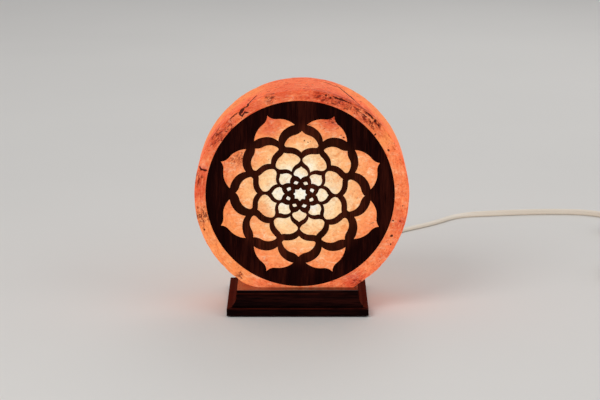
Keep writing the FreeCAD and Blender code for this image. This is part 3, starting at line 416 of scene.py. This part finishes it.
def round_places(x, z, places):
    """1 inside any of the round places, fading to 0 around them."""
    outside = []
    for across, up, radius in places:
        off = (x - across * MM) ** 2.0 + (z - up * MM) ** 2.0
        outside.append(rise(off, (0.3 * radius * MM) ** 2, (1.15 * radius * MM) ** 2))
    return 1 - lowest(outside)


def salt_cracked(place):
    """1 in the cracks and pits of the salt, fading to 0 at their edges."""
    reaches = []
    for line in salt_cracks:
        reaches += [outside_crack(place, a, b) for a, b in zip(line, line[1:])]
    for x, y, z, half in salt_pits:
        reaches.append(vector("DISTANCE", place, (x * MM, y * MM, z * MM), "Value") / MM - half)
    return 1 - rise(lowest(reaches), -0.35, 0.35)


def salt_light(place, far, away):
    """The light in the salt: white at its heart and coral far off, with darker and paler veils."""
    stops = [
        (0.0, paint(255, 253, 243)),
        (0.08, paint(255, 235, 198)),
        (0.19, paint(255, 210, 156)),
        (0.33, paint(255, 182, 121)),
        (0.53, paint(254, 154, 96)),
        (0.72, paint(251, 139, 84)),
        (1.0, paint(245, 124, 77)),
    ]
    skin = ramp((far - glow_start) / glow_length, stops)
    mottle = clouds(place, 150.0, 6.0, 0.78, 0.6)
    skin = tinted(rise(mottle, 0.52, 0.32), skin, (0.86, 0.60, 0.46))
    leaning = stretched(place, (1.0, 1.0, 2.0), (0.0, 0.6, 0.0))
    veils = clouds(leaning, 110.0, 7.0, 0.8, 1.0)
    skin = mix(rise(veils, 0.50, 0.70) * (0.7 - 0.35 * away), skin, paint(255, 236, 196))
    return tinted(rise(veils, 0.47, 0.32) * 0.7, skin, (0.92, 0.74, 0.60))


def salt_stone():
    """Lit rock salt: its light, then its amber and rose places, streaks, specks and cracks, and
    painted shade just above the base.
    """
    material, shader, place = finish("salt_stone", Emission_Strength=0.92, Specular_IOR_Level=0.03)
    inputs = {"Vector": place, "Scale": 300.0, "Detail": 3.0}
    wobble = place.make("ShaderNodeTexNoise", {}, inputs, "Color")
    wobble = vector("SUBTRACT", wobble, (0.5, 0.5, 0.5))
    shaken = vector("ADD", place, lengthened(wobble, 2.6 * MM))
    x, y, z = axes(place)
    shaken_x, _, shaken_z = axes(shaken)
    up = z - salt_centre_z
    turn = x.math("ARCTAN2", up)
    radius = (x * x + up * up) ** 0.5
    side = rise(radius, salt_radius - 1.5 * MM, salt_radius - 0.4 * MM)
    outside = rise(x.math("ABSOLUTE"), 24 * MM, 44 * MM)

    drift = clouds(place, 42.0, 5.0, 0.65)
    far = vector("DISTANCE", place, tuple(glow_heart), "Value")
    far = far + (drift - 0.5) * (30 * MM)
    away = rise(far, 60 * MM, 84 * MM)
    skin = salt_light(place, far, away)

    amber = round_places(shaken_x, shaken_z, amber_places)
    skin = mix(amber * 0.4, skin, paint(255, 168, 92))
    depth = y + (drift - 0.5) * (30 * MM)
    rose = round_places(shaken_x, shaken_z, rose_places) * (0.5 + 0.5 * rise(drift, 0.35, 0.6))
    rose = rose * (1 - 0.75 * rise(depth, -20 * MM, 2 * MM))
    rose = rose.math("MAXIMUM", 0.35 * rise(clouds(place, 22.0, 2.0), 0.52, 0.68))
    skin = tinted(rose * (1 - 0.45 * side), skin, (0.80, 0.50, 0.55))

    behind = rise(y + (drift - 0.5) * (40 * MM), -14 * MM, 8 * MM)
    skin = tinted(side * 0.95, skin, (0.96, 0.70, 0.62))
    skin = mix(side * behind * outside * 0.85, skin, paint(238, 132, 72))

    streaks = clouds(joined(turn * 0.018, radius, y), 620.0, 6.0, 0.78, 0.5)
    lines = 0.15 + 0.6 * away + 0.2 * side
    skin = tinted(rise(streaks, 0.52, 0.64) * lines, skin, (0.70, 0.40, 0.38))
    skin = mix(rise(streaks, 0.48, 0.32) * (0.10 + 0.45 * away), skin, paint(255, 182, 126))

    grime = round_places(shaken_x, shaken_z, speckled_places)
    grime = grime * (1 - rise(depth, -30 * MM, -20 * MM))
    skin = tinted(grime * rise(streaks, 0.40, 0.60) * 0.5, skin, (0.46, 0.26, 0.27))
    coarse = clouds(joined(turn * 0.045, radius, y), 460.0, 3.0, 0.6, 0.4)
    coarse = coarse + grime * 0.15 + side * 0.06
    fine = clouds(place, 820.0, 2.0, 0.6) + grime * 0.10
    specks = rise(coarse, 0.67, 0.71).math("MAXIMUM", 0.7 * rise(fine, 0.66, 0.71))
    skin = mix(specks * (0.4 + 0.4 * away) * (1 - 0.35 * side), skin, paint(98, 26, 20))

    cracked = salt_cracked(shaken)
    skin = mix(cracked * 0.94, skin, paint(46, 10, 10))

    grains = rise(clouds(place, 480.0, 4.0, 0.75), 0.32, 0.68)
    # Painted shade: over the lowest few mm of the salt, in the middle of its width, the glow is
    # dimmed by up to a quarter, as if the base blocked the light.
    foot_shade = (1 - rise(z, base_top + 0.5 * MM, base_top + 4 * MM)) * (1 - outside)
    glow = (0.88 + 0.24 * grains) * (1 + 0.11 * side * outside) * (1 - 0.25 * foot_shade)
    # Painted light: the base colour is the glowing skin dimmed, so the glow's fall-off from white
    # at the bulb to coral at the rim is painted into the salt's own colour as well.
    feed(shader["Base Color"], lengthened(skin, 0.16))
    feed(shader["Emission Color"], lengthened(skin, glow))
    feed(shader["Roughness"], 0.42 + 0.14 * grains)
    relief = grains * 0.3 + streaks * 0.8 - cracked * 1.4 - specks * 0.5
    feed(shader["Normal"], bump(relief, 0.22 * MM, 0.8))
    return material


def on_top(z):
    """1 on the base's flat top, 0 on its sides."""
    return rise(z, base_top - 0.6 * MM, base_top - 0.2 * MM)


def wood(name, dark, middle, light, along, tone_shift, polish=0.0):
    """Stained wood: long fibres, growth bands and open pores along one axis. The function after
    `along` changes its tone by place, painting light and shade on the panel and the base, and
    `polish` is the shine of its top."""
    lacquer = {"Coat_Roughness": 0.14, "Coat_IOR": 1.7, "Specular_IOR_Level": 0.0}
    material, shader, place = finish(name, **lacquer)
    fibre = stretched(place, tuple(0.07 if axis == along else 1.0 for axis in range(3)))
    bands = clouds(fibre, 70.0, 4.0, 0.55, 0.9)
    strands = clouds(fibre, 620.0, 5.0, 0.75)
    slits = stretched(place, tuple(0.035 if axis == along else 1.0 for axis in range(3)))
    open_pores = rise(clouds(slits, 1500.0, 2.0, 0.5), 0.60, 0.70)
    blotches = clouds(place, 26.0, 3.0)
    tone = bands * 0.45 + strands * 0.45 + blotches * 0.10
    skin = tone_shift(place, ramp(tone, [(0.38, dark), (0.50, middle), (0.64, light)]))
    feed(shader["Base Color"], mix(open_pores * 0.7, skin, scaled(dark, 0.4)))
    feed(shader["Roughness"], 0.40 + 0.22 * strands + 0.1 * open_pores)
    feed(shader["Normal"], bump(strands * 0.5 - open_pores, 0.05 * MM, 0.7))
    coat = 0.015 + polish * on_top(axes(place)[2])
    feed(shader["Coat Weight"], coat * (1 - 0.5 * open_pores))
    return material


def painted_glow_bars(place, skin):
    """The panel's bars round its middle, painted lighter and warmer with glow from the salt."""
    x, _, z = axes(place)
    off = ((x - panel_middle.x) ** 2.0 + (z - panel_middle.z) ** 2.0) ** 0.5
    bars = 1 - rise(off, 50 * MM, 66 * MM)
    # Painted light: inside 50 mm of the middle the bars are brightened 2.8 times and mixed halfway
    # toward a warm brown, fading out by 66 mm.
    return mix(bars * 0.5, lengthened(skin, 0.8 + 2.0 * bars), paint(46, 20, 3))


def base_painted_light(place, skin):
    """The base's end faces, ledge, lip and top, with painted light: the salt's glow on the end
    faces, highlight lines along the ledge and the lip, a lit strip on the left of the top and
    painted shade on its right.
    """
    x, y, z = axes(place)
    in_from_end = base_half.x - (x - base_middle.x).math("ABSOLUTE")
    in_from_front = base_half.y - (y - base_middle.y).math("ABSOLUTE")
    # Painted light: the end faces, lightened and reddened as if lit by the salt's glow.
    ends = rise(in_from_front - in_from_end, 0.0, 0.8 * MM)
    ends = ends * (1 - rise(in_from_end, 7 * MM, 10 * MM))
    edge = 1 - rise(in_from_end.math("MINIMUM", in_from_front), 0.4 * MM, 1.3 * MM)
    ledge = edge * (1 - rise((z - base_ledge_z).math("ABSOLUTE"), 0.2 * MM, 0.8 * MM))
    lip = 1 - rise((z - base_lip_z).math("ABSOLUTE"), 0.1 * MM, 0.6 * MM)
    # Painted highlights along the outer edge of the ledge and along the lip, stronger towards the
    # left, in faint patches.
    highlight_strength = rise(clouds(place, 60.0, 4.0, 0.6) - x * 2.0, 0.3, 0.6)
    edges = (ledge * 0.6).math("MAXIMUM", lip * 0.45) * highlight_strength
    skin = mix((ends * 0.7).math("MAXIMUM", edges), skin, paint(92, 30, 16))
    # Painted light on the left of the top, fading into painted shade on its right.
    top = on_top(z)
    unlit = rise(x, -35 * MM, 15 * MM)
    skin = mix(top * (0.9 - 0.7 * unlit), skin, paint(132, 58, 36))
    return mix(top * unlit * 0.6, skin, paint(16, 5, 4))


def moulded(name, colour, roughness, grain=0.012 * MM, uneven=0.05, **shine):
    """Plastic, rubber or glaze: a faintly uneven tone and the fine grain of its mould."""
    material, shader, place = finish(name, **shine)
    tone = clouds(place, 90.0, 4.0, 0.6)
    skin = mix(tone, scaled(colour, 1 - 2 * uneven), scaled(colour, 1 + 2 * uneven))
    # Scuffed places: darker and a little rougher.
    tone_shift = clouds(place, 420.0, 4.0, 0.6)
    feed(shader["Base Color"], mix(rise(tone_shift, 0.62, 0.74) * 0.25, skin, scaled(colour, 0.72)))
    feed(shader["Roughness"], roughness - 0.08 + 0.16 * tone_shift)
    feed(shader["Normal"], bump(clouds(place, 2600.0, 3.0), grain, 0.6))
    return material


def metal(name, colour, roughness):
    """Worked metal: fine tool lines, and tarnish in faint clouds."""
    material, shader, place = finish(name, Metallic=1.0)
    lines = clouds(stretched(place, (1.0, 1.0, 0.1)), 2200.0, 4.0, 0.6)
    tarnish = clouds(place, 160.0, 5.0, 0.65)
    feed(shader["Base Color"], mix(rise(tarnish, 0.45, 0.75) * 0.5, colour, scaled(colour, 0.62)))
    feed(shader["Roughness"], roughness - 0.08 + 0.14 * lines + 0.1 * tarnish)
    feed(shader["Normal"], bump(lines, 0.006 * MM, 0.5))
    return material


def lead_sheath():
    """Off-white soft plastic of the lead, a little yellowed, with faint scuffed places."""
    material, shader, place = finish("lead_sheath", Specular_IOR_Level=0.4)
    yellowed = clouds(place, 24.0, 3.0)
    tone_shift = clouds(place, 700.0, 4.0, 0.65)
    skin = mix(yellowed, paint(226, 214, 196), paint(238, 229, 214))
    feed(shader["Base Color"], mix(rise(tone_shift, 0.60, 0.72) * 0.3, skin, paint(205, 190, 170)))
    feed(shader["Roughness"], 0.34 + 0.18 * tone_shift)
    feed(shader["Normal"], bump(clouds(place, 1500.0, 2.0), 0.02 * MM, 0.5))
    return material


def clear_glass(name, tint, roughness):
    """Thin blown glass with a breath of warm dust on it."""
    material, shader, place = finish(name, Transmission_Weight=1.0, IOR=1.45)
    dust = clouds(place, 240.0, 4.0, 0.6)
    feed(shader["Base Color"], mix(rise(dust, 0.4, 0.8), tint, scaled(tint, 0.9)))
    feed(shader["Roughness"], roughness + 0.06 * dust)
    return material


def glowing_wire():
    """The bulb's filament, lit."""
    hot = {"Metallic": 1.0, "Roughness": 0.4, "Emission_Strength": 3.0}
    material, shader, place = finish("glowing_wire", **hot)
    heat = clouds(place, 300.0, 2.0)
    feed(shader["Base Color"], mix(heat, paint(90, 86, 84), paint(130, 124, 118)))
    feed(shader["Emission Color"], mix(heat, paint(255, 176, 92), paint(255, 214, 150)))
    return material


espresso = (paint(18, 3, 3), paint(31, 6, 5), paint(64, 22, 13))
mahogany = (paint(8, 2, 2), paint(16, 4, 4), paint(44, 14, 10))
ceramic = {"uneven": 0.02, "Coat_Weight": 0.3}
finishes = {
    "salt": salt_stone(),
    "panel_wood": wood("espresso_stain", *espresso, 2, painted_glow_bars),
    "base_wood": wood("mahogany_stain", *mahogany, 0, base_painted_light, 0.9),
    "glue": moulded("dried_glue", paint(196, 170, 120), 0.35, Transmission_Weight=0.2),
    "foot_rubber": moulded("foot_rubber", paint(38, 37, 38), 0.75, 0.03 * MM),
    "steel": metal("zinced_steel", paint(186, 188, 190), 0.36),
    "wall_plug": moulded("nylon_plug", paint(176, 178, 180), 0.5),
    "holder_plastic": moulded("black_holder", paint(28, 27, 27), 0.38),
    "core_ceramic": moulded("white_ceramic", paint(226, 222, 212), 0.25, **ceramic),
    "brass": metal("turned_brass", paint(214, 170, 92), 0.3),
    "nickel": metal("nickel_plate", paint(206, 202, 194), 0.22),
    "bulb_glass": clear_glass("bulb_glass", paint(255, 248, 236), 0.04),
    "cap_glass": moulded("black_cap_glass", paint(30, 24, 30), 0.12, uneven=0.03),
    "tungsten": glowing_wire(),
    "cord_sheath": lead_sheath(),
    "core_wire": moulded("core_insulation", paint(222, 210, 192), 0.4),
    "switch_plastic": moulded("switch_housing", paint(228, 219, 203), 0.36, 0.02 * MM),
    "rocker_plastic": moulded("switch_rocker", paint(236, 229, 215), 0.24, 0.006 * MM),
    "plug_plastic": moulded("moulded_plug", paint(224, 214, 197), 0.42, 0.025 * MM),
    "pin_sleeve": moulded("pin_sleeve", paint(46, 45, 46), 0.4),
    "tie_band": moulded("tie_band", paint(34, 34, 36), 0.55, 0.03 * MM),
}


# ---- pieces -------------------------------------------------------------------------------


def show(name, mesh, slot):
    """A new piece with its finish, riding on the lamp."""
    piece = bpy.data.objects.new(name, mesh)
    bpy.context.scene.collection.objects.link(piece)
    mesh.materials.clear()
    mesh.materials.append(finishes[slot])
    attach(piece, "lamp")
    return piece


def off_line(place, start, end):
    """How far a place lies from the straight line between two corners."""
    first = Vector(start[:3]) * MM
    run = Vector(end[:3]) * MM - first
    share = max(0.0, min(1.0, (place - first).dot(run) / run.length_squared))
    return (place - first - run * share).length


def salt_mesh():
    """The salt's skin as small squares, from the solid's own surface."""
    mesh = frame["nodes"]["salt_disc"].data.copy()
    skin = bmesh.new()
    skin.from_mesh(mesh)
    bmesh.ops.remove_doubles(skin, verts=skin.verts, dist=0.01 * MM)
    skin.to_mesh(mesh)
    skin.free()
    rough = bpy.data.objects.new("salt_rough", mesh)
    bpy.context.scene.collection.objects.link(rough)
    squares = rough.modifiers.new("squares", "REMESH")
    squares.mode = "VOXEL"
    squares.voxel_size = salt_grid
    ready = rough.evaluated_get(bpy.context.evaluated_depsgraph_get())
    made = bpy.data.meshes.new_from_object(ready)
    bpy.data.objects.remove(rough)
    return made


def salt_wear(place):
    """How deep the salt's surface wears away at a place: waves, broken edges, cracks and pits."""
    up = place.z - salt_centre_z
    radius = math.hypot(place.x, up)
    waves = 0.5 + 0.5 * noise.fractal(place * 70.0, 1.0, 2.0, 4)
    depth = wave_depth * max(0.0, min(1.0, waves))
    to_rim = salt_radius - radius
    to_face = min(place.y - salt_front, salt_back - place.y)
    edge = max(0.0, 1.0 - math.hypot(max(to_rim, 0.0), max(to_face, 0.0)) / edge_reach)
    chips = noise.fractal(place * 160.0 + Vector((3.1, 7.7, 1.3)), 0.8, 2.2, 4)
    depth += edge**1.5 * MM * (0.5 + 1.6 * max(0.0, chips))
    for line in salt_cracks:
        off = min(off_line(place, a, b) for a, b in zip(line, line[1:]))
        depth += crack_depth * max(0.0, 1.0 - off / crack_reach)
    for x, y, z, half in salt_pits:
        off = (place - Vector((x, y, z)) * MM).length
        depth += 0.5 * half * MM * max(0.0, 1.0 - off / (half * MM + pit_reach))
    return depth


def salt_piece():
    """The salt with its weathered surface. Its foot and its bore keep the solid's shape."""
    mesh = salt_mesh()
    foot_corner_x = -math.sqrt(salt_radius**2 - (salt_centre_z - salt_low.z) ** 2)
    skin = bmesh.new()
    skin.from_mesh(mesh)
    skin.normal_update()
    for vert in skin.verts:
        foot = (vert.co.z - salt_low.z) / foot_reach
        bore = (math.hypot(vert.co.x, vert.co.y - salt_middle_y) - bore_radius) / (2 * MM)
        inside = bore < 0.5 and salt_front + 5 * MM < vert.co.y < salt_back - 5 * MM
        if foot > 0.3 and not inside:
            vert.co -= vert.normal * salt_wear(vert.co) * min(1.0, foot)
        corner = math.hypot(vert.co.x - foot_corner_x, vert.co.z - salt_low.z)
        rounding = max(0.0, 1.0 - corner / foot_corner_reach) ** 1.5
        vert.co -= vert.normal * foot_corner_wear * rounding
    skin.to_mesh(mesh)
    skin.free()
    mesh.shade_smooth()
    piece = show("salt_block", mesh, "salt")
    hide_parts("salt_disc")


# ---- lead ---------------------------------------------------------------------------------


def lead_section():
    """The twin lead's section: two cores side by side with a shallow groove between them."""
    curve = bpy.data.curves.new("lead_section", "CURVE")
    curve.dimensions = "2D"
    spline = curve.splines.new("POLY")
    spline.points.add(lead_corners - 1)
    for number, point in enumerate(spline.points):
        angle = 2 * math.pi * number / lead_corners
        cosine, sine = math.cos(angle), math.sin(angle)
        across = lead_width / 2 * math.copysign(abs(cosine) ** 0.85, cosine)
        up = lead_thickness / 2 * math.copysign(abs(sine) ** 0.6, sine)
        up *= 1 - lead_groove * math.exp(-((across / (0.7 * MM)) ** 2))
        point.co = (across, up, 0, 1)
    spline.use_cyclic_u = True
    section = bpy.data.objects.new("lead_section", curve)
    bpy.context.scene.collection.objects.link(section)
    return section


def lead_line(route, steps):
    """A route's smooth line: a NURBS spline with the route's points as its control points."""
    curve = bpy.data.curves.new("lead_line", "CURVE")
    curve.dimensions = "3D"
    curve.twist_mode = "Z_UP"
    curve.resolution_u = steps
    spline = curve.splines.new("NURBS")
    spline.points.add(len(route) - 1)
    for point, (x, y, z, turn) in zip(spline.points, route):
        point.co = (x * MM, y * MM, z * MM, 1)
        point.tilt = math.radians(turn)
    spline.order_u = 3
    spline.use_endpoint_u = True
    line = bpy.data.objects.new("lead_line", curve)
    bpy.context.scene.collection.objects.link(line)
    return line


def coil_route():
    """The coil's turns: half turns from side to side, in on the table and out again on top."""
    step_in = coil_pitch / 2
    reaches = [coil_reach - step_in * step for step in range(coil_half_turns + 1)]
    reaches[-1] -= coil_climb_play
    reaches += reaches[::-1]
    route = []
    round_up = 1 / math.cos(math.pi / (2 * coil_points))  # the spline cuts inside its points
    for step, (start, end) in enumerate(zip(reaches, reaches[1:])):
        side = -1 if step % 2 else 1
        middle = coil_centre.x + side * (start - end) / 2
        radius = (start + end) / 2
        low = coil_pitch * (step > coil_half_turns)
        climb = coil_pitch * (step == coil_half_turns)
        for number in range(coil_points):
            angle = math.pi * (number + 0.5) / coil_points
            x = middle + side * radius * round_up * math.cos(angle)
            y = coil_centre.y - side * radius * round_up * math.sin(angle)
            z = coil_centre.z + low + climb * (1 - math.cos(angle)) / 2
            route.append((x / MM, y / MM, z / MM, ON_EDGE))
    return route


def lead_piece(name, route, steps):
    """A stretch of lead with `steps` cuts to each point, and the points along its middle."""
    section = lead_section()
    line = lead_line(route, steps)
    path_mesh = bpy.data.meshes.new_from_object(line)
    path = [v.co.copy() for v in path_mesh.vertices]
    line.data.bevel_mode = "OBJECT"
    line.data.bevel_object = section
    line.data.use_fill_caps = True
    ready = line.evaluated_get(bpy.context.evaluated_depsgraph_get())
    mesh = bpy.data.meshes.new_from_object(ready)
    bpy.data.objects.remove(line)
    bpy.data.objects.remove(section)
    tube = bmesh.new()
    tube.from_mesh(mesh)
    bmesh.ops.remove_doubles(tube, verts=tube.verts, dist=0.01 * MM)
    bmesh.ops.recalc_face_normals(tube, faces=tube.faces)
    tube.to_mesh(mesh)
    tube.free()
    mesh.shade_smooth()
    return show(name, mesh, "cord_sheath"), path


def lead():
    """The lead's two free stretches: lamp to switch, and switch to coil to plug."""
    to_switch, path = lead_piece("lead_to_switch", to_switch_route, 12)
    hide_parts("cord_to_switch")
    route = to_coil_route + coil_route() + to_plug_route
    to_plug, path = lead_piece("lead_to_plug", route, 6)
    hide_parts("cord_to_coil", "cord_coil", "cord_to_plug")


# ---- stage --------------------------------------------------------------------------------


def floor():
    """A plain pale floor that reaches past every view."""
    disc = bmesh.new()
    bmesh.ops.create_circle(disc, cap_ends=True, radius=floor_radius, segments=64)
    mesh = bpy.data.meshes.new("floor")
    disc.to_mesh(mesh)
    disc.free()
    material, shader, place = finish("pale_floor", Specular_IOR_Level=0.2)
    patches = clouds(place, 3.0, 3.0)
    feed(shader["Base Color"], mix(patches, paint(222, 219, 214), paint(228, 225, 220)))
    feed(shader["Roughness"], 0.6 + 0.1 * patches)
    mesh.materials.append(material)
    piece = bpy.data.objects.new("floor", mesh)
    bpy.context.scene.collection.objects.link(piece)


def soft_light(name, power, size, place):
    """A broad round light that points at the lamp's middle."""
    lamp = bpy.data.lights.new(name, "AREA")
    lamp.energy = power
    lamp.shape = "DISK"
    lamp.size = size
    light = bpy.data.objects.new(name, lamp)
    light.location = place
    aim = Vector(lamp_middle) - Vector(place)
    light.rotation_euler = aim.to_track_quat("-Z", "Y").to_euler()
    bpy.context.scene.collection.objects.link(light)


def room():
    """Pale, even light from all round."""
    world = bpy.data.worlds.new("room")
    world.use_nodes = True
    sky = world.node_tree.nodes["Background"].inputs
    sky["Color"].default_value = paint(240, 241, 244)
    sky["Strength"].default_value = 0.55
    bpy.context.scene.world = world
    soft_light("key", 16.0, 1.2, (-1.1, -1.3, 1.5))
    soft_light("fill", 7.0, 1.6, (1.6, -0.9, 1.0))
    soft_light("rear", 5.0, 1.2, (0.4, 1.5, 1.3))


def camera():
    """The photograph's view: from the front and a little above."""
    eye = bpy.data.cameras.new("camera")
    eye.sensor_width = 36.0
    eye.lens = camera_lens
    view = bpy.data.objects.new("camera", eye)
    view.location = camera_place
    view.rotation_euler = (math.radians(camera_tilt), 0.0, 0.0)
    bpy.context.scene.collection.objects.link(view)
    bpy.context.scene.camera = view


# ---- the whole lamp -----------------------------------------------------------------------

camera()
lead()
salt_piece()
for part in frame["record"]["subparts"]:
    node = frame["nodes"][part["node"]]
    node.data.materials.clear()
    node.data.materials.append(finishes[part["material_slot"]])
floor()
room()
bpy.context.scene.view_settings.view_transform = "Standard"
